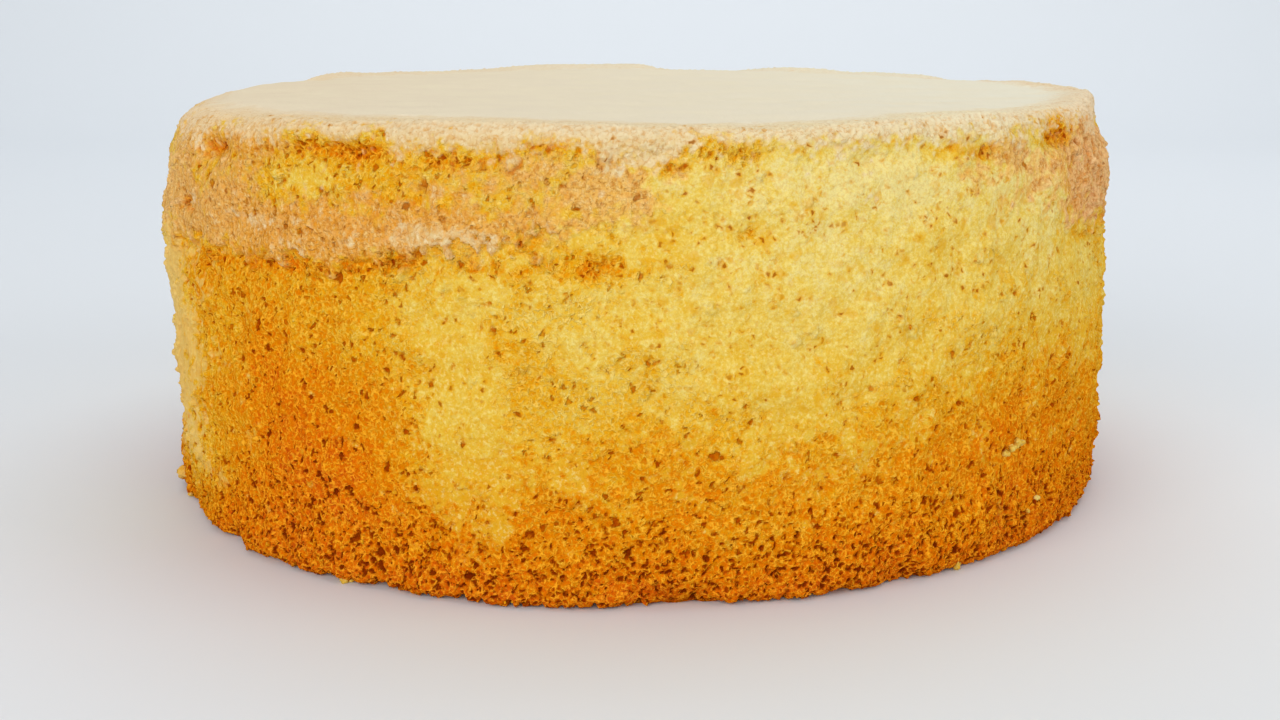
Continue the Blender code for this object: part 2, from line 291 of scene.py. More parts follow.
COLUMNS = 2048               # round the whole cake
ROWS = 300                   # from the base's edge up the wall and over the shoulder onto the top
TOP_RING = 0.085             # radius where the grid ends on the top
FRONT = 856                  # columns of the finest part, in the middle of the front
BACK_STRIDE = 2              # every how many columns the rest of the wall keeps
TURN_STEPS = 60              # points of the outline round the foot or the shoulder
WALL_STEPS = 80              # and up the wall or in across the top
SEED = 20

STEP = 2 * math.pi * CAKE_RADIUS / COLUMNS
BEARINGS = np.arange(COLUMNS) * 360 / COLUMNS - 180


def eased(bearing, knots):
    """Values at bearings, eased from one knot to the next and wrapped round the back."""
    table = np.array(knots + ((knots[0][0] + 360, *knots[0][1:]),), dtype=float)
    at = np.clip(np.searchsorted(table[:, 0], bearing, side="right") - 1, 0, len(table) - 2)
    share = (bearing - table[at, 0]) / (table[at + 1, 0] - table[at, 0])
    share = share * share * (3 - 2 * share)
    return [table[at, k] + (table[at + 1, k] - table[at, k]) * share for k in range(1, table.shape[1])]


def smooth_step(low, high, value):
    share = np.clip((value - low) / (high - low), 0, 1)
    return share * share * (3 - 2 * share)


def patches(bearing, height, table):
    """Sum of a table's patches at places on the wall."""
    total = np.zeros(np.broadcast(bearing, height).shape)
    for middle, level, half_angle, half_height, amount in table:
        turn = (bearing - middle + 180) % 360 - 180
        total += amount * np.exp(-((turn / half_angle) ** 2 + ((height - level) / half_height) ** 2))
    return total


def lumps(x, y, z, size_and_height, every=4):
    """Smooth random rise at the grid's points, read at every few of them and spread between."""
    size, height = size_and_height
    rows = np.unique(np.append(np.arange(0, x.shape[1], every), x.shape[1] - 1))
    columns = np.arange(0, x.shape[0], every)
    coarse = np.empty((len(columns), len(rows)))
    for a, i in enumerate(columns):
        for b, j in enumerate(rows):
            coarse[a, b] = noise.noise(Vector((x[i, j] / size, y[i, j] / size, z[i, j] / size)))
    wrapped = np.vstack([coarse, coarse[:1]])
    at = np.arange(x.shape[0]) / every
    low = at.astype(int)
    share = (at - low)[:, None]
    tall = wrapped[low] * (1 - share) + wrapped[low + 1] * share
    out = np.empty(x.shape)
    every_row = np.arange(x.shape[1])
    for i in range(x.shape[0]):
        out[i] = np.interp(every_row, rows, tall[i])
    return out * height


class Grid:
    """Random fields on the grid, in metres along it, that close on themselves round the cake."""

    def __init__(self, row_step):
        self.row_step = row_step
        self.pad = 40
        self.rows = ROWS + self.pad
        self.waves_s = np.fft.fftfreq(COLUMNS, STEP)[:, None]
        self.waves_t = np.fft.rfftfreq(self.rows, row_step)[None, :]
        self.waves = np.hypot(self.waves_s, self.waves_t)
        self.rng = np.random.default_rng(SEED)

    def filtered(self, field, keep):
        spectrum = np.fft.rfft2(field)
        return np.fft.irfft2(spectrum * keep, s=field.shape)[:, :ROWS]

    def band(self, shortest, longest, tall=1.0):
        """Noise of unit spread with waves between two lengths, and so many times as tall as wide."""
        white = self.rng.standard_normal((COLUMNS, self.rows))
        waves = np.hypot(self.waves_s, tall * self.waves_t)
        keep = np.exp(-(waves * shortest) ** 4) * (1 - np.exp(-(waves * longest) ** 4))
        keep /= np.maximum(waves * longest, 1)
        field = self.filtered(white, keep)
        return field / field.std()

    def blurred(self, field, reach):
        wide = np.pad(field, ((0, 0), (0, self.pad)), mode="edge")
        wide[:, -self.pad // 2:] = field[:, :1]
        return self.filtered(wide, np.exp(-2 * (math.pi * reach * self.waves) ** 2))

    def pores(self, spacing, radius, share, warp, longest=1.8):
        """Depth of scattered round-bottomed pores, in as many cells as share says.

        The second value is how far inside one each point lies, 0 to 1."""
        across = round(COLUMNS * STEP / spacing)
        up = int(ROWS * self.row_step / spacing) + 3
        cell_s = COLUMNS * STEP / across
        rng = self.rng
        at_s = rng.random((across, up))
        at_t = rng.random((across, up))
        size = radius[0] + (radius[1] - radius[0]) * rng.random((across, up)) ** 2
        turn = rng.random((across, up)) * math.pi
        long = 1 + (longest - 1) * rng.random((across, up)) ** 2
        column = np.clip(((np.arange(across)[:, None] + at_s) * cell_s / STEP).astype(int), 0, COLUMNS - 1)
        row = ((np.arange(up)[None, :] - 1 + at_t) * spacing / self.row_step).astype(int)
        row = np.clip(row, 0, ROWS - 1)
        there = rng.random((across, up)) < np.broadcast_to(share, (COLUMNS, ROWS))[column, row]
        size = np.where(there, size, 1e-6)
        s = (np.arange(COLUMNS)[:, None] * STEP + warp[0])
        t = (np.arange(ROWS)[None, :] * self.row_step + warp[1])
        cs = np.floor(s / cell_s).astype(int)
        ct = np.clip(np.floor(t / spacing).astype(int), -1, up - 3)
        depth = np.zeros((COLUMNS, ROWS))
        cover = np.zeros((COLUMNS, ROWS))
        for ds in (-1, 0, 1):
            for dt in (-1, 0, 1):
                a = (cs + ds) % across
                b = np.clip(ct + dt + 1, 0, up - 1)
                away_s = s - (cs + ds + at_s[a, b]) * cell_s
                away_t = t - (ct + dt + at_t[a, b]) * spacing
                cos, sin = np.cos(turn[a, b]), np.sin(turn[a, b])
                along = (away_s * cos + away_t * sin) / long[a, b]
                aside = (away_t * cos - away_s * sin) * np.sqrt(long[a, b])
                r = size[a, b]
                inside = np.sqrt(np.clip(1 - (along ** 2 + aside ** 2) / r ** 2, 0, 1))
                depth = np.maximum(depth, r * inside)
                cover = np.maximum(cover, inside)
        return depth, cover


def profiles():
    """Radius, height, outward slope and length of the outline at each bearing, before any relief."""
    inset, drop = eased(BEARINGS, SHOULDER)
    rise, = eased(BEARINGS, RIM_RISE)
    shape = (COLUMNS, ROWS)
    radius, height, out, up, over = (np.empty(shape) for _ in range(5))
    turn = np.linspace(0, math.pi / 2, TURN_STEPS)
    lengths = []
    for i in range(COLUMNS):
        top = CAKE_HEIGHT + rise[i]
        low = top - drop[i]
        inner = np.linspace(CAKE_RADIUS - inset[i], TOP_RING, WALL_STEPS)[1:]
        fade = smooth_step(TOP_RING, CAKE_RADIUS - inset[i], inner)
        rs = np.concatenate([CAKE_RADIUS - FOOT_ROUND * (1 - np.sin(turn)),
                             np.full(WALL_STEPS, CAKE_RADIUS),
                             CAKE_RADIUS - inset[i] * (1 - np.cos(turn)), inner])
        zs = np.concatenate([FOOT_ROUND * (1 - np.cos(turn)),
                             np.linspace(FOOT_ROUND, low, WALL_STEPS + 2)[1:-1],
                             low + drop[i] * np.sin(turn), CAKE_HEIGHT + rise[i] * fade])
        overs = np.concatenate([np.zeros(TURN_STEPS + WALL_STEPS), 1 - np.cos(turn), np.ones(len(inner))])
        along = np.concatenate([[0], np.cumsum(np.hypot(np.diff(rs), np.diff(zs)))])
        at = np.linspace(0, along[-1], ROWS)
        radius[i] = np.interp(at, along, rs)
        height[i] = np.interp(at, along, zs)
        over[i] = np.interp(at, along, overs)
        dr, dz = np.gradient(radius[i]), np.gradient(height[i])
        length = np.hypot(dr, dz)
        out[i], up[i] = dz / length, -dr / length
        lengths.append(along[-1])
    return radius, height, out, up, over, float(np.mean(lengths))


def build_surface():
    """Every point of the outside's grid and the finish that it has there."""
    radius, height, out, up, over, length = profiles()
    grid = Grid(length / (ROWS - 1))
    bearing = np.broadcast_to(BEARINGS[:, None], radius.shape)
    angle = np.radians(bearing)
    sin, cos = np.sin(angle), np.cos(angle)
    wall_x, wall_y = CAKE_RADIUS * sin, -CAKE_RADIUS * cos
    level = np.minimum(height, CAKE_HEIGHT)

    # Large relief: the solid's, a little corrected.
    edge, proud = (value[:, None] for value in eased(BEARINGS, SKIN))
    foot, = eased(BEARINGS, FOOT_SPREAD)
    large = foot[:, None] * (1 - smooth_step(0, FOOT_REACH, height))
    for size_and_height in (WALL_WAVES, CRUMB_LUMPS, CRUMB_GRAIN):
        large = large + lumps(wall_x, wall_y, level, size_and_height)
    large = large + patches(bearing, height, RELIEF)
    on_top = smooth_step(0.6, 1.0, over)
    inward = smooth_step(TOP_RING, CAKE_RADIUS - 0.003, radius)
    fray = grid.band(*FRAY)
    ragged = 0.0011 * fray + 0.0010 * grid.band(*RAGS)
    from_edge = height + ragged * (1 - on_top) - edge
    sides = smooth_step(*SIDES[:2], np.abs(bearing)) * (1 - smooth_step(*SIDES[2:], np.abs(bearing)))
    reach = SKIN_EDGE + sides * SKIN_EDGE_SIDES
    skin = smooth_step(-reach, reach, from_edge)
    below = np.clip(-from_edge, 0, None) / GROOVE_REACH
    groove = GROOVE_DEPTH * proud * np.exp(-below ** 2) * (from_edge < 0)
    large = large + proud * skin - groove
    large = large * np.where(over > 0, inward, 1)

    # Where each finish lies.
    mottle = 0.13 * grid.band(*FRAY) + 0.12 * grid.band(0.005, 0.02)
    tan = patches(bearing + 900 * ragged, height + 0.6 * ragged, TAN)
    tan = tan + mottle * np.minimum(1, 2 * tan)
    tan = smooth_step(0.1, 0.9, tan) * (0.3 + 0.7 * skin) * (1 - on_top)
    windows = 1.3 * patches(bearing + 0.8 * fray, height + 0.0003 * fray, WINDOWS) * (1 - on_top)
    tan = tan * np.clip(1 - 2 * windows, 0, 1)
    film = patches(bearing, height, FILM) + 0.16 * grid.band(*FRAY) + 0.16 * grid.band(*RAGS)
    film = smooth_step(0.25, 0.90, film - 2.5 * windows) * smooth_step(0.004, 0.014, height)
    film = film * (1 - smooth_step(0.5, 1.0, tan))
    crust_edge, = eased(BEARINGS, CRUST_EDGE)
    crust_edge = crust_edge[:, None] + ragged * 0.8
    crust = smooth_step(-0.0024, 0.0024, height - crust_edge) * np.clip(1 - 2.5 * windows, 0, 1)
    flakes = smooth_step(0.12, 0.60, patches(bearing, height, FLAKES) + 0.8 * mottle) * (from_edge > 0)
    crust = np.maximum(np.maximum(crust, 0.75 * flakes * (1 - on_top)), smooth_step(0.55, 0.95, over))
    bake = np.interp(height, *zip(*BAKE_BY_HEIGHT)) + patches(bearing, height, BAKE) + windows
    bake = bake + 0.03 * grid.band(0.008, 0.03) + 0.040 * grid.band(0.0015, 0.006)
    foot_crumb = 1 - smooth_step(0.005, 0.024, height)

    # Crumb: pores, crevices under the torn edges, grains that stand out.
    warp = (grid.band(0.0008, 0.003) * 0.00022, grid.band(0.0008, 0.003) * 0.00022)
    bare = (1 - 0.8 * film) * (1 - 0.5 * tan) * (1 - crust)
    small, in_small = grid.pores(*SMALL_PORES, 0.20 + 0.60 * foot_crumb * bare, warp)
    middle, in_middle = grid.pores(*MIDDLE_PORES, 0.06 + (0.08 + 0.30 * foot_crumb) * bare, warp)
    wide_share = 0.14 + 0.14 * foot_crumb - 0.10 * np.clip(crust + 0.5 * tan, 0, 1)
    wide, in_wide = grid.pores(*WIDE_PORES, wide_share, warp, longest=1.5)
    grains, _ = grid.pores(*GRAINS, 0.45, warp)
    fine = grid.band(0.00065, 0.0016)
    soft = grid.band(0.0016, 0.005)
    torn = np.exp(-((height - crust_edge + 0.0018) / 0.0018) ** 2) * (1 - on_top)
    torn = torn * smooth_step(0.3, 1.3, grid.band(0.0010, 0.004))
    deep = 0.5 + 0.6 * foot_crumb
    crumb = (0.00006 * fine + 0.00007 * soft - deep * small - (0.50 + 0.3 * foot_crumb) * middle
             - 0.35 * wide + (0.35 + 0.35 * sides) * grains - 0.0006 * torn - 0.0016 * windows)
    crust_pits, _ = grid.pores(*CRUST_PITS, 0.34, warp)
    near_edge = smooth_step(*RIM, radius)
    crust_relief = (0.00003 + 0.00008 * near_edge) * fine + 0.00004 * soft
    crust_relief = crust_relief + near_edge * (0.45 * grains - 0.55 * crust_pits)
    relief = crumb * (1 - 0.35 * tan) * (1 - 0.45 * film) * (1 - crust) + crust_relief * crust
    relief = relief * smooth_step(TOP_RING, TOP_RING + 0.003, radius)
    relief = relief - 0.0002 * (1 - on_top)
    pits = np.zeros(radius.shape)
    for at, reach, size, depth in TOP_PITS:
        aside = np.radians((bearing - at + 180) % 360 - 180) * reach
        pits += depth * np.exp(-((aside / (1.5 * size)) ** 2 + ((radius - reach) / size) ** 2) ** 1.5)
    relief = relief - pits * (over > 0)

    top = sum(lumps(radius * sin, -radius * cos, 0 * height, each) for each in (TOP_WAVES, TOP_GRAIN))
    notch = NOTCH * np.clip(grid.band(*FRAY)[:, :1] - 0.3, 0, 2)
    notch = notch * (1 - smooth_step(0, NOTCH_REACH, height))
    wrinkles = grid.band(0.0014, 0.0060, tall=3.0) * patches(bearing, height, WRINKLED) * (1 - on_top)
    crags, _ = grid.pores(*CRAGS, 0.10 + 0.35 * sides, warp, longest=1.4)
    dents, _ = grid.pores(*DENTS, 0.45 * sides, warp, longest=1.6)
    relief = relief + WRINKLE * wrinkles + (0.9 * crags - 0.8 * dents) * (1 - smooth_step(0.0, 0.4, over))
    r = radius + large + relief * out - notch
    z = height + over * top + relief * up + notch
    low, high = cad_box
    points = np.stack([r * sin, -r * cos, z], axis=-1)
    points = np.clip(points, np.array(low), np.array(high))

    # Painted shade and highlight: hollows and pores are coloured deeper, and what stands out is coloured
    # paler.
    hollow = grid.blurred(relief, 0.0012) - relief
    pore = np.maximum(np.maximum(in_small, in_middle) ** 2 * bare, in_wide ** 2 * (1 - 0.25 * film))
    pore = pore * (1 - crust)
    opened = 0.30 + 0.70 * foot_crumb + patches(bearing, height, OPENED) + 2.0 * windows
    looks = {
        "bake": bake + 0.12 * torn * (1 - crust),
        "film": film,
        "pore": pore,
        "tan": tan,
        "crust": crust,
        "open": np.clip(opened, 0, 1) * (1 - 0.8 * film) * (1 - 0.2 * tan) * (1 - crust),
        # pit: painted shade in the hollows
        "pit_shade": np.clip(hollow / 0.00040, 0, 1.5),
        # peak: painted highlight on what stands out
        "peak_highlight": np.clip(-hollow / 0.00022, 0, 1.5),
    }
    return points, looks


# -------- meshes

def new_mesh(name, points, faces, looks=None, uv=None):
    """Mesh from arrays: points, faces of one size, values at the points, and its own UV map."""
    mesh = bpy.data.meshes.new(name)
    mesh.vertices.add(len(points))
    mesh.vertices.foreach_set("co", np.ascontiguousarray(points, dtype=np.float32).ravel())
    corners = faces.ravel().astype(np.int32)
    mesh.loops.add(len(corners))
    mesh.loops.foreach_set("vertex_index", corners)
    mesh.polygons.add(len(faces))
    mesh.polygons.foreach_set("loop_start", np.arange(len(faces), dtype=np.int32) * faces.shape[1])
    mesh.update(calc_edges=True)
    mesh.validate()
    for key, values in (looks or {}).items():
        layer = mesh.attributes.new(key, "FLOAT", "POINT")
        layer.data.foreach_set("value", np.ascontiguousarray(values, dtype=np.float32).ravel())
    if uv is not None:
        layer = mesh.uv_layers.new(name="OFBake")
        layer.data.foreach_set("uv", np.ascontiguousarray(uv[corners], dtype=np.float32).ravel())
    mesh.shade_smooth()
    return mesh


def new_piece(name, mesh, material):
    piece = bpy.data.objects.new(name, mesh)
    bpy.context.scene.collection.objects.link(piece)
    mesh.materials.append(material)
    return piece


def grid_normals(points):
    """Normals of the grid at its points, pointing out."""
    along = np.roll(points, -1, axis=0) - np.roll(points, 1, axis=0)
    up = np.gradient(points, axis=1)
    normals = np.cross(along, up)
    return normals / np.maximum(np.linalg.norm(normals, axis=-1, keepdims=True), 1e-12)


def keep_edge_normals(mesh, edge, normals):
    """Give the points at a piece's edge the normals that its neighbour has there too."""
    custom = np.zeros((len(mesh.vertices), 3))
    custom[edge] = normals
    mesh.normals_split_custom_set_from_vertices(custom.tolist())


def wall_piece(name, columns, points, normals, looks, material):
    """One stretch of the wall, shoulder and top's edge."""
    picked = columns % COLUMNS
    count = len(columns)
    spot = np.arange(count * ROWS).reshape(count, ROWS)
    quads = np.stack([spot[:-1, :-1], spot[1:, :-1], spot[1:, 1:], spot[:-1, 1:]], axis=-1).reshape(-1, 4)
    u = np.repeat(np.linspace(0, 1, count)[:, None], ROWS, axis=1)
    v = np.repeat(np.linspace(0, 1, ROWS)[None, :], count, axis=0)
    mesh = new_mesh(name, points[picked].reshape(-1, 3), quads,
                    {key: value[picked] for key, value in looks.items()},
                    np.stack([u, v], axis=-1).reshape(-1, 2))
    edge = np.zeros((count, ROWS), dtype=bool)
    edge[[0, -1], :] = True
    edge[:, [0, -1]] = True
    keep_edge_normals(mesh, edge.ravel(), normals[picked][edge])
    return new_piece(name, mesh, material)


def stitched(outer, outer_angles, inner, inner_angles):
    """Triangles between two rings, facing up, walked round by angle."""
    faces = []
    a = b = 0
    outer_next = np.append(outer_angles[1:], outer_angles[0] + 360)
    inner_next = np.append(inner_angles[1:], inner_angles[0] + 360)
    while a < len(outer) or b < len(inner):
        if b >= len(inner) or (a < len(outer) and outer_next[a] <= inner_next[b]):
            faces.append((outer[a % len(outer)], outer[(a + 1) % len(outer)], inner[b % len(inner)]))
            a += 1
        else:
            faces.append((outer[a % len(outer)], inner[(b + 1) % len(inner)], inner[b % len(inner)]))
            b += 1
    return np.array(faces)


def disc(ring, ring_angles, radius, count, closest, step, share, middle, height):
    """Points and upward triangles inside a ring: rings further and further in, and a point in the middle.

    The first new ring has a radius and a count of points, which halves where they would be closer than
    closest. The next lies a step further in, or a share of their spacing if that is more."""
    places, angles = [ring], [ring_angles]
    while radius > middle:
        if 2 * math.pi * radius / count < closest and count > 8:
            count //= 2
        angle = np.arange(count) * 360 / count - 180
        turn = np.radians(angle)
        x, y = radius * np.sin(turn), -radius * np.cos(turn)
        places.append(np.stack([x, y, height(x, y)], axis=-1))
        angles.append(angle)
        radius -= max(step, 2 * math.pi * radius / count * share)
    places.append(np.array([[0, 0, places[-1][:, 2].mean()]]))
    starts = np.cumsum([0] + [len(part) for part in places])
    rings = [start + np.arange(len(part)) for start, part in zip(starts, places)]
    faces = [stitched(*pair) for pair in zip(rings, angles, rings[1:], angles[1:])]
    last, centre = rings[-2], rings[-1][0]
    faces.append(np.stack([last, np.roll(last, -1), np.full(len(last), centre)], axis=-1))
    return np.concatenate(places), np.concatenate(faces)


def top_height(x, y):
    """Height of the flat of the top at places on it."""
    return np.array([CAKE_HEIGHT
                     + TOP_WAVES[1] * noise.noise(Vector((a / TOP_WAVES[0], b / TOP_WAVES[0], 0)))
                     + TOP_GRAIN[1] * noise.noise(Vector((a / TOP_GRAIN[0], b / TOP_GRAIN[0], 0)))
                     for a, b in zip(x, y)])


def top_piece(ring_columns, points, normals, material):
    """The flat of the top, inside the ring where the wall's pieces end."""
    every, faces = disc(points[ring_columns, -1], BEARINGS[ring_columns], radius=TOP_RING - 0.0007,
                        count=1024, closest=0.00075, step=0.0007, share=0.85, middle=0.0015,
                        height=top_height)
    uv = every[:, :2] / (2 * TOP_RING) + 0.5
    mesh = new_mesh("top_crust", every, faces, {"crust": np.ones(len(every))}, uv)
    keep_edge_normals(mesh, np.arange(len(ring_columns)), normals[ring_columns, -1])
    return new_piece("top_crust", mesh, material)


def base_piece(ring_columns, points, material):
    """The browned underside, inside the wall's lowest ring."""
    rng = np.random.default_rng(SEED + 1)
    every, faces = disc(points[ring_columns, 0], BEARINGS[ring_columns], radius=0.0955, count=512,
                        closest=0.0011, step=0.0015, share=0.9, middle=0.003,
                        height=lambda x, y: np.clip(rng.normal(0.00005, 0.00022, len(x)), 0, 0.0006))
    every[-1, 2] = 0
    # The pit value darkens the base with painted shade, more where a point stands higher.
    looks = {"bake": np.full(len(every), 0.96), "open": np.full(len(every), 0.5), "pit_shade": every[:, 2] / 0.0004}
    mesh = new_mesh("browned_base", every, faces[:, ::-1], looks, every[:, :2] / 0.2 + 0.5)
    return new_piece("browned_base", mesh, material)


def crumb_ball(subdivisions):
    """Corners and faces of a round ball, of radius 1."""
    ball = bmesh.new()
    bmesh.ops.create_icosphere(ball, subdivisions=subdivisions, radius=1)
    corners = np.array([corner.co[:] for corner in ball.verts])
    faces = np.array([[corner.index for corner in face.verts] for face in ball.faces])
    ball.free()
    return corners, faces


def crumbs_piece(points, material):
    """All the loose crumbs in one mesh: torn lumps that sit on the wall, or on the floor against it."""
    rng = np.random.default_rng(SEED + 2)
    balls = [crumb_ball(2), crumb_ball(3)]
    least, most = LOOSE_CRUMB_RADIUS
    small = rng.random(LOOSE_CRUMBS)
    loose = zip(rng.uniform(-180, 180, LOOSE_CRUMBS),
                rng.random(LOOSE_CRUMBS) ** 2 * LOOSE_CRUMBS_UP_TO + 0.001,
                least + (most - least) * small ** 2)
    low, high = (np.array(corner) for corner in cad_box)
    places, faces, bakes, films = [], [], [], []
    count = 0
    for bearing, height, radius in CRUMBS + tuple(loose):
        pale = bool(radius > most)
        ball, ball_faces = balls[pale]
        column = int(round((bearing + 180) / 360 * COLUMNS)) % COLUMNS
        row = int(np.argmin(np.abs(points[column, :, 2] - height)))
        seat = points[column, row]
        turn = math.radians(bearing)
        out = np.array([math.sin(turn), -math.cos(turn), 0])
        stretch = rng.uniform(0.65, 1.35, 3)
        shift = rng.uniform(0, 50, 3)
        rise = np.array([sum(amount * noise.noise(Vector(corner * waves + shift))
                             for amount, waves in CRUMB_ROUGHNESS) for corner in ball])
        spot = ball * (1 + rise)[:, None] * stretch * radius + seat + out * radius * 0.45
        faces.append(ball_faces + count)
        count += len(ball)
        places.append(np.clip(spot, low, high))
        bakes.append(np.full(len(ball), rng.uniform(0.15, 0.40) + (0.0 if pale else 0.3)))
        films.append(np.full(len(ball), 0.6 if pale else 0.1))
    every = np.concatenate(places)
    looks = {"bake": np.concatenate(bakes), "film": np.concatenate(films), "open": np.full(len(every), 0.1)}
    mesh = new_mesh("crumbs", every, np.concatenate(faces), looks)
    return new_piece("crumbs", mesh, material)


# -------- materials

def linear(red, green, blue):
    """Linear colour from one given in 0 to 255 as a screen shows it."""
    parts = [value / 255 for value in (red, green, blue)]
    parts = [value / 12.92 if value <= 0.04045 else ((value + 0.055) / 1.055) ** 2.4 for value in parts]
    return (*parts, 1.0)


# Colours from pale to deep: of bare crumb, of the film over it, of the painted shade inside a pore, and of
# bright grains, partly painted highlight.
# Colours of the materials are given in 0 to 255, as a screen shows them.
CRUMB_COLOURS = (
    (0.20, (233, 190, 64)),
    (0.40, (232, 168, 24)),
    (0.60, (227, 138, 6)),
    (0.80, (228, 120, 5)),
    (0.95, (220, 102, 7)),
    (1.00, (202, 88, 12)),
)
FILM_COLOURS = (
    (0.00, (231, 213, 140)),
    (0.20, (228, 199, 96)),
    (0.40, (227, 184, 60)),
    (0.60, (225, 164, 34)),
)
# Painted shade inside pores and hollows.
PORE_SHADE_COLOURS = (
    (0.20, (214, 146, 14)),
    (0.45, (197, 102, 3)),
    (0.75, (162, 58, 1)),
    (1.00, (114, 33, 2)),
)
# Bright grains: the crumb's paler walls, with a painted highlight where they stand out.
GRAIN_AND_HIGHLIGHT_COLOURS = (
    (0.20, (243, 214, 118)),
    (0.45, (249, 195, 66)),
    (0.75, (255, 176, 34)),
    (1.00, (254, 160, 34)),
)


class Nodes:
    """Short ways to add and join shader nodes."""

    def __init__(self, name):
        self.material = bpy.data.materials.new(name)
        self.material.use_nodes = True
        self.tree = self.material.node_tree
        self.shader = self.tree.nodes["Principled BSDF"]
        self.place = self.add("ShaderNodeTexCoord").outputs["Object"]

    def add(self, kind, inputs=None, **settings):
        """A node with its settings, and its inputs fed."""
        node = self.tree.nodes.new(kind)
        for key, value in settings.items():
            setattr(node, key, value)
        self.feed(node, inputs or {})
        return node

    def feed(self, node, inputs):
        for key, source in inputs.items():
            self.join(source, node.inputs[key])

    def join(self, source, target):
        """Feed a socket from another one, a number or a colour."""
        if isinstance(source, (int, float)):
            target.default_value = source
        elif isinstance(source, tuple):
            target.default_value = linear(*source)
        else:
            self.tree.links.new(source, target)

    def value(self, name):
        return self.add("ShaderNodeAttribute", attribute_name=name).outputs["Fac"]

    def math(self, how, a, b=0.0, c=0.0, clamp=False):
        node = self.add("ShaderNodeMath", operation=how, use_clamp=clamp)
        for source, target in zip((a, b, c), node.inputs):
            self.join(source, target)
        return node.outputs["Value"]

    def times(self, a, b, clamp=False):
        return self.math("MULTIPLY", a, b, clamp=clamp)

    def minus(self, a, b, clamp=False):
        return self.math("SUBTRACT", a, b, clamp=clamp)

    def scaled(self, value, by, plus, clamp=False):
        return self.math("MULTIPLY_ADD", value, by, plus, clamp)

    def ramp(self, fac, stops):
        node = self.add("ShaderNodeValToRGB", {"Fac": fac})
        elements = node.color_ramp.elements
        while len(elements) < len(stops):
            elements.new(0.5)
        for element, (place, colour) in zip(elements, stops):
            element.position = place
            element.color = linear(*colour)
        return node.outputs["Color"]

    def mix(self, fac, a, b):
        node = self.add("ShaderNodeMix", {"Factor": fac, "A": a, "B": b}, data_type="RGBA")
        return node.outputs["Result"]

    def layered(self, colour, *layers):
        """A colour under layers, each given by where it lies, how strong it is and its colour."""
        for where, strength, above in layers:
            colour = self.mix(self.times(where, strength), colour, above)
        return colour

    def noise(self, size, detail=2.0, rough=0.5, low=0.0, high=1.0, place=None):
        """Noise with lumps of a size in metres, spread from low to high."""
        node = self.add("ShaderNodeTexNoise", {"Vector": place or self.place, "Scale": 1 / size,
                                               "Detail": detail, "Roughness": rough})
        spread = self.add("ShaderNodeMapRange", {"Value": node.outputs["Fac"], "From Min": 0.3,
                                                 "From Max": 0.7, "To Min": low, "To Max": high}, clamp=True)
        return spread.outputs["Result"]

    def warped(self, size, amount):
        """Object space shaken by noise, so that nothing drawn in it stays round or straight."""
        node = self.add("ShaderNodeTexNoise", {"Vector": self.place, "Scale": 1 / size, "Detail": 1.0})
        shake = self.add("ShaderNodeVectorMath", {0: node.outputs["Color"], 2: self.place},
                         operation="MULTIPLY_ADD")
        shake.inputs[1].default_value = (amount, amount, amount)
        return shake.outputs["Vector"]

    def cells(self, size, place):
        """Foam with cells of a size: how far each point lies from their walls, and a draw for each cell."""
        inputs = {"Vector": place, "Scale": 1 / size}
        edge = self.add("ShaderNodeTexVoronoi", inputs, feature="DISTANCE_TO_EDGE")
        cell = self.add("ShaderNodeTexVoronoi", inputs)
        draw = self.add("ShaderNodeSeparateColor", {"Color": cell.outputs["Color"]})
        return edge.outputs["Distance"], draw.outputs["Red"]

    def over(self, value, edge, crisp):
        """0 to 1 where a value passes an edge. Either can be a number."""
        return self.times(self.minus(value, edge), crisp, clamp=True)

    def drawn(self, wall, edge, crisp, share, draw):
        """Inside as many cells as share says, past an edge from their walls."""
        return self.times(self.over(wall, edge, crisp), self.over(share, draw, 8.0))

    def torn(self, value, grain, amount, crisp):
        """A soft 0 to 1 field with its edge broken up by a grain, unchanged where it is 0 or 1."""
        between = self.times(value, self.minus(1.0, value))
        shake = self.times(self.minus(grain, 0.5), 4 * amount)
        shaken = self.scaled(shake, between, value)
        return self.scaled(self.minus(shaken, 0.5), crisp, 0.5, clamp=True)


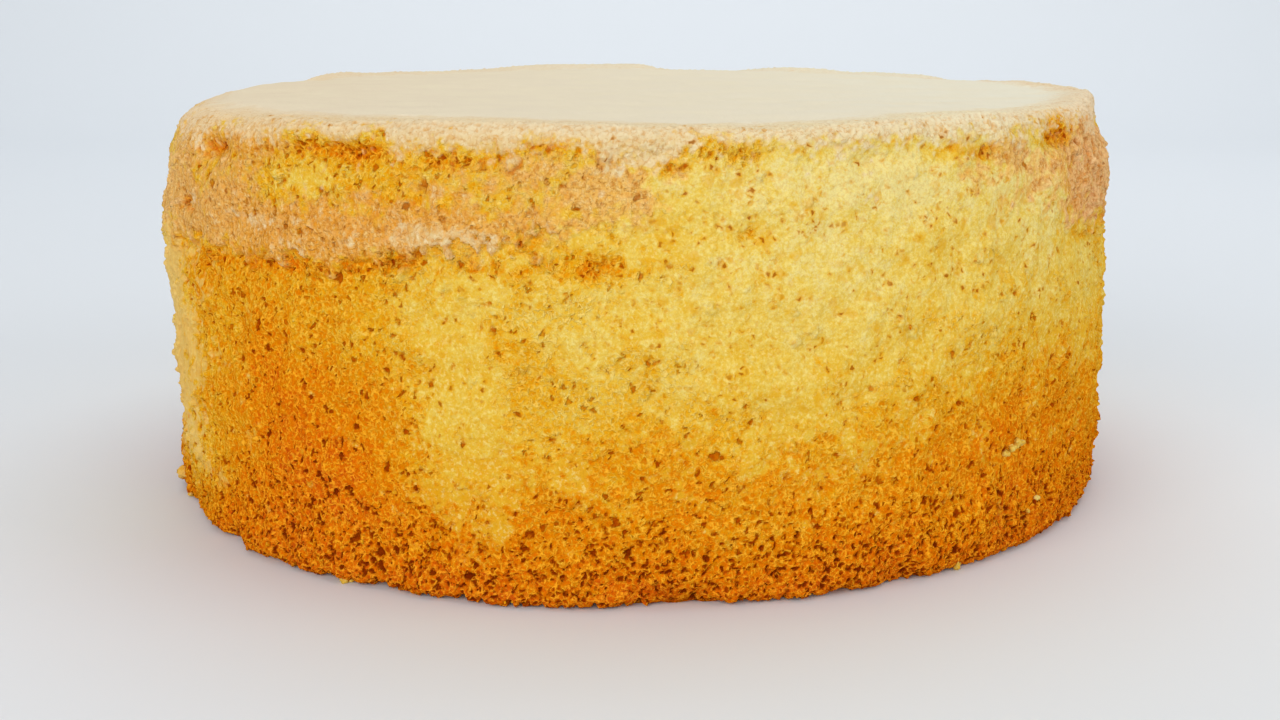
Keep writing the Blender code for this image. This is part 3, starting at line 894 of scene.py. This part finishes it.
def cake_material():
    """Crumb, clinging film and skin and the top's crust, told apart by the values that the grid carries."""
    n = Nodes("baked_sponge")
    bake, film, tan, crust = (n.value(key) for key in ("bake", "film", "tan", "crust"))
    open_share, pore, pit_shade, peak_highlight = (n.value(key) for key in ("open", "pore", "pit_shade", "peak_highlight"))
    warped = n.warped(0.0008, 0.00030)
    axes = n.add("ShaderNodeSeparateXYZ", {"Vector": n.place})
    x, y = axes.outputs["X"], axes.outputs["Y"]

    # Foam: cells with bright torn walls between them, partly painted highlight, some open and dark inside
    # with painted shade, the others full of crumb.
    clump = n.noise(0.00070, 2.0, 0.6, place=warped)
    gap = n.noise(0.00090, 2.0, 0.6, place=n.warped(0.0011, 0.0009))
    grain = n.noise(0.00040, 2.0, 0.7)
    mottle = n.noise(0.0022, 3.0, 0.6, -0.07, 0.07)
    wall, draw = n.cells(0.00105, n.warped(0.0010, 0.0008))
    small_wall, small_draw = n.cells(0.00072, warped)
    inside = n.over(wall, 0.12, 5.0)
    small_inside = n.over(small_wall, 0.12, 5.0)
    opened = n.times(inside, n.over(n.times(open_share, 0.42), draw, 5.0))
    small_opened = n.times(small_inside, n.over(n.times(open_share, 0.36), small_draw, 5.0))
    # The bright walls and clumps are paler crumb with a painted highlight on them.
    ridge = n.times(n.over(0.22, wall, 6.0), n.over(gap, 0.36, 3.0))
    bright = n.math("MAXIMUM", n.over(clump, 0.60, 3.0), ridge)
    # Painted shade: pores, open cells and small open cells take the pore's darker colour.
    hole = n.over(n.scaled(n.minus(clump, 0.5), -0.4, pore), 0.28, 2.2)
    deep = n.math("MAXIMUM", hole, n.math("MAXIMUM", opened, n.times(small_opened, 0.7)))
    bright = n.times(bright, n.minus(1.0, deep, clamp=True))

    # Painted highlight: raised lumps are coloured paler.
    lump_highlight = n.over(clump, 0.54, 3.0)
    tear = n.noise(0.0014, 3.0, 0.6, place=n.warped(0.0011, 0.0009))
    # Painted shade in thin cracks along the cell walls.
    crack_shade = n.times(n.over(0.14, wall, 9.0), n.over(gap, 0.46, 5.0))

    browned = n.math("ADD", bake, n.scaled(grain, 0.16, mottle))
    # Painted highlight: what stands out is a little paler.
    browned = n.scaled(peak_highlight, -0.06, browned)
    browned = n.minus(browned, 0.08, clamp=True)
    # The painted shade deepens with browning, with the pit value and in open pores.
    deeper = n.scaled(deep, 0.14, n.scaled(pit_shade, 0.16, n.minus(browned, 0.14)))
    pore_shade_colour = n.ramp(deeper, PORE_SHADE_COLOURS)
    grain_and_highlight_colour = n.ramp(browned, GRAIN_AND_HIGHLIGHT_COLOURS)
    # Painted shade: each cell is a little browner in its middle.
    crumb = n.ramp(n.scaled(inside, 0.10, n.minus(browned, 0.05)), CRUMB_COLOURS)
    # Painted shade in the crumb's low places, where the clump and gap noises are low.
    dim_shade = n.math("MAXIMUM", n.over(0.40, clump, 3.5), n.over(0.32, gap, 4.0))
    # Painted shade in dim places, pits and open pores, and painted highlight on the bright walls.
    crumb = n.layered(
        crumb,
        (dim_shade, 0.28, pore_shade_colour),
        (bright, 0.90, grain_and_highlight_colour),
        (pit_shade, 0.25, pore_shade_colour),
        (deep, 0.90, pore_shade_colour),
    )

    # The film hides the crumb but for its grain, soft spots where it has sunk in, and small dark specks that
    # are painted shade in tiny pores. Painted highlight makes its lumps paler; painted shade darkens its dim
    # places, cracks and the pores under it.
    blot_wall, blot_draw = n.cells(0.0024, n.warped(0.0016, 0.0012))
    blot_share = n.noise(0.0080, 2.0, 0.6, 0.04, 0.36)
    blot = n.drawn(blot_wall, 0.06, 8.0, blot_share, blot_draw)
    freckle_share = n.noise(0.0045, 2.0, 0.6, 0.00, 0.42)
    freckle = n.drawn(wall, 0.02, 7.0, freckle_share, draw)
    core = n.drawn(wall, 0.20, 7.0, n.times(freckle_share, 0.7), draw)
    speck_cell = n.over(n.noise(0.0045, 2.0, 0.6, -0.10, 0.14, n.warped(0.0030, 0.0010)), small_draw, 8.0)
    halo = n.times(n.over(small_wall, 0.0, 6.0), speck_cell)
    # Painted shade in tiny pores in the film.
    speck_shade = n.times(n.over(small_wall, 0.11, 7.0), speck_cell)
    spot = n.over(n.scaled(n.minus(clump, 0.5), -0.6, pore), 0.24, 1.6)
    film_bake = n.scaled(grain, 0.10, n.minus(browned, 0.06))
    film_colour = n.ramp(film_bake, FILM_COLOURS)
    film_colour = n.layered(
        film_colour,
        (dim_shade, 0.30, (212, 160, 36)),
        (lump_highlight, 0.50, (243, 224, 138)),
        (crack_shade, 0.25, (208, 148, 30)),
        (blot, 0.50, (222, 162, 22)),
        (freckle, 0.60, (220, 154, 14)),
        (spot, 0.80, pore_shade_colour),
        (halo, 0.50, (220, 160, 24)),
        (speck_shade, 0.80, (176, 94, 2)),
        (core, 0.85, (160, 82, 2)),
    )
    # Painted sheen: the film turns paler and greyer toward the left edge, seen at a grazing angle.
    left_edge_sheen = n.scaled(x, -40.0, -2.6, clamp=True)
    film_colour = n.mix(n.times(left_edge_sheen, 0.6), film_colour, (229, 188, 116))
    film_there = n.torn(film, tear, 0.7, 1.4)
    colour = n.mix(film_there, crumb, film_colour)

    # Skin: tan with paler flakes, the crumb's pores still open in it. Painted shade darkens its dim places,
    # cracks, pits and pores; painted highlight makes its lumps and peaks paler.
    flake = n.noise(0.0030, 4.0, 0.7, -0.3, 1.3)
    right = n.scaled(x, 40.0, -2.4, clamp=True)
    left_tan = n.mix(flake, (231, 158, 48), (234, 170, 82))
    # Painted sheen on the skin toward the left edge as well.
    left_tan = n.mix(n.times(left_edge_sheen, 0.8), left_tan, (236, 188, 108))
    left_tan = n.mix(n.scaled(x, 30.0, 1.1, clamp=True), left_tan, (236, 184, 94))
    right_tan = n.mix(flake, (226, 150, 68), (240, 194, 138))
    tan_colour = n.mix(right, left_tan, right_tan)
    tan_colour = n.layered(
        tan_colour,
        (dim_shade, 0.45, n.mix(right, (206, 124, 22), (202, 130, 56))),
        (lump_highlight, 0.75, (249, 209, 132)),
        (peak_highlight, 0.35, (248, 208, 146)),
        (crack_shade, 0.45, (192, 112, 20)),
        (pit_shade, 0.6, (198, 112, 26)),
        (deep, 0.85, (172, 90, 8)),
    )
    tan_there = n.torn(tan, tear, 0.5, 1.2)
    colour = n.mix(tan_there, colour, tan_colour)

    # Top crust: creamy and smooth in the middle, grainier and more golden to the rim, pinker on the left.
    radius = n.math("SQRT", n.math("ADD", n.times(x, x), n.times(y, y)))
    across = n.scaled(x, 5.5, 0.5, clamp=True)
    ahead = n.scaled(y, -6.0, 0.45, clamp=True)
    inward = n.scaled(n.minus(0.1000, radius), 75.0, n.noise(0.0050, 3.0, 0.6, -0.18, 0.18))
    shoulder = n.scaled(axes.outputs["Z"], 160.0, -0.0785 * 160)
    inward = n.math("MAXIMUM", inward, n.math("MINIMUM", shoulder, 0.55))
    inward = n.math("MAXIMUM", n.math("MINIMUM", inward, 1.0), n.minus(0.85, ahead), clamp=True)
    outward = n.minus(1.0, inward)
    rim_tone = n.noise(0.0020, 3.0, 0.6, -0.2, 1.2)
    left_rim = n.mix(rim_tone, (216, 172, 104), (224, 192, 136))
    left_rim = n.mix(n.scaled(x, -30.0, -1.4, clamp=True), left_rim, (230, 198, 148))
    right_rim = n.mix(rim_tone, (229, 209, 152), (233, 221, 176))
    rim_colour = n.mix(n.times(right, 0.8), n.mix(across, left_rim, right_rim), (226, 186, 134))
    top_colour = n.mix(across, (227, 209, 180), (233, 228, 208))
    top_colour = n.mix(n.noise(0.0120, 3.0, 0.6, 0.0, 0.5), top_colour, (235, 223, 193))
    crust_colour = n.mix(inward, rim_colour, top_colour)
    # Painted highlight on the rim's raised lumps, painted shade in its cracks.
    crust_colour = n.layered(
        crust_colour,
        (n.times(lump_highlight, outward), 0.6, (240, 220, 178)),
        (n.times(crack_shade, outward), 0.5, (194, 130, 44)),
    )
    rim_share = n.times(outward, n.noise(0.0050, 2.0, 0.6, 0.04, 0.46))
    rim_freckle = n.drawn(wall, 0.02, 7.0, rim_share, draw)
    rim_core = n.drawn(wall, 0.18, 7.0, n.times(rim_share, 0.6), draw)
    # The pit value adds painted shade in the rim's hollows.
    crust_colour = n.layered(
        crust_colour,
        (rim_freckle, 0.58, (216, 154, 52)),
        (rim_core, 0.85, (152, 84, 4)),
        (pit_shade, 0.5, (210, 144, 56)),
    )
    crust_there = n.torn(crust, tear, 1.1, 1.3)
    colour = n.mix(crust_there, colour, crust_colour)

    # Fine relief: raised grains and sunk pores in bare crumb, nearly none on film and crust.
    bareness = n.minus(1.0, n.times(n.math("MAXIMUM", film_there, crust_there), 0.7))
    rise = n.minus(n.times(bright, 0.7), deep)
    rise = n.scaled(grain, 0.4, rise)
    bump = n.add("ShaderNodeBump", {"Strength": 1.0, "Distance": 0.00022, "Height": n.times(rise, bareness)})
    n.feed(n.shader, {"Base Color": colour, "Roughness": 0.95, "Specular IOR Level": 0.0,
                      "Normal": bump.outputs["Normal"]})
    return n.material


# -------- the cake's pieces

def plain_material(name, colour, roughness):
    n = Nodes(name)
    n.feed(n.shader, {"Base Color": colour, "Roughness": roughness})
    return n.material


def make_cake():
    points, looks = build_surface()
    normals = grid_normals(points)
    material = cake_material()
    first = (COLUMNS - FRONT) // 2
    last = first + FRONT
    third = FRONT // 3
    cuts = [first, first + third, last - third, last]
    stretches = [(f"wall_{side}", np.arange(a, b + 1)) for side, a, b
                 in zip(("front_left", "front", "front_right"), cuts, cuts[1:])]
    rest = COLUMNS - FRONT
    middle = last + rest // 2
    stretches.append(("wall_back_right", np.arange(last, middle + 1, BACK_STRIDE)))
    stretches.append(("wall_back_left", np.arange(middle, first + COLUMNS + 1, BACK_STRIDE)))
    pieces = [wall_piece(name, columns, points, normals, looks, material) for name, columns in stretches]
    ring = np.unique(np.concatenate([columns % COLUMNS for _, columns in stretches]))
    pieces.append(top_piece(ring, points, normals, material))
    pieces.append(base_piece(ring, points, material))
    pieces.append(crumbs_piece(points, material))
    for piece in pieces:
        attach(piece, "root")
        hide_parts(NODE)


# -------- stage, light and camera

STAGE_COLOUR = (224, 228, 232)
STAGE_BACK = 0.75            # how far behind the cake the floor starts to curve up
STAGE_CURVE = 0.60
STAGE_HALF = 3.0
LENS = 45.84
SENSOR = 36.0
CAMERA_PLACE = (0.0009, -0.3592, 0.1031)
CAMERA_PITCH = 12.87         # degrees down from level


def make_stage():
    """One pale sheet: floor in front, curved up into the wall behind."""
    turn = np.linspace(0, math.pi / 2, 33)
    ys = np.concatenate([[-STAGE_HALF], STAGE_BACK + STAGE_CURVE * np.sin(turn), [STAGE_BACK + STAGE_CURVE]])
    zs = np.concatenate([[0], STAGE_CURVE * (1 - np.cos(turn)), [STAGE_HALF]])
    rows = [np.stack([np.full(len(ys), x), ys, zs], axis=-1) for x in (-STAGE_HALF, STAGE_HALF)]
    low = np.arange(len(ys) - 1)
    quads = np.stack([low, low + len(ys), low + len(ys) + 1, low + 1], axis=-1)
    mesh = new_mesh("sweep", np.concatenate(rows), quads)
    new_piece("sweep", mesh, plain_material("sweep", STAGE_COLOUR, 0.9))


def area_light(name, place, aim, size, watts, colour=(1, 1, 1)):
    data = bpy.data.lights.new(name, "AREA")
    data.shape = "RECTANGLE"
    data.size, data.size_y = size
    data.energy = watts
    data.color = colour
    light = bpy.data.objects.new(name, data)
    light.location = place
    light.rotation_euler = (Vector(aim) - Vector(place)).to_track_quat("-Z", "Y").to_euler()
    bpy.context.scene.collection.objects.link(light)


def make_lights():
    area_light("window", (-0.38, -1.0, 0.50), (0, 0, 0.03), (1.3, 0.8), 9.6, (1.0, 0.985, 0.96))
    area_light("overhead", (0.1, 0.25, 1.1), (0, 0, 0.05), (1.2, 1.2), 4.9)
    area_light("side", (1.1, -0.3, 0.4), (0, 0, 0.04), (0.7, 0.7), 4.0)
    area_light("wash", (0, 0.50, 1.4), (0, 1.35, 0.95), (2.4, 0.5), 11, (0.93, 0.97, 1.0))
    world = bpy.data.worlds.new("studio")
    world.use_nodes = True
    background = world.node_tree.nodes["Background"]
    background.inputs["Color"].default_value = (0.95, 0.97, 1.0, 1.0)
    background.inputs["Strength"].default_value = 0.30
    bpy.context.scene.world = world


def make_camera():
    data = bpy.data.cameras.new("camera")
    data.lens = LENS
    data.sensor_width = SENSOR
    data.clip_start = 0.01
    camera = bpy.data.objects.new("camera", data)
    camera.location = CAMERA_PLACE
    camera.rotation_euler = (math.radians(90 - CAMERA_PITCH), 0, 0)
    bpy.context.scene.collection.objects.link(camera)
    bpy.context.scene.camera = camera


make_camera()
make_cake()
make_stage()
make_lights()
bpy.context.scene.view_settings.view_transform = "Standard"
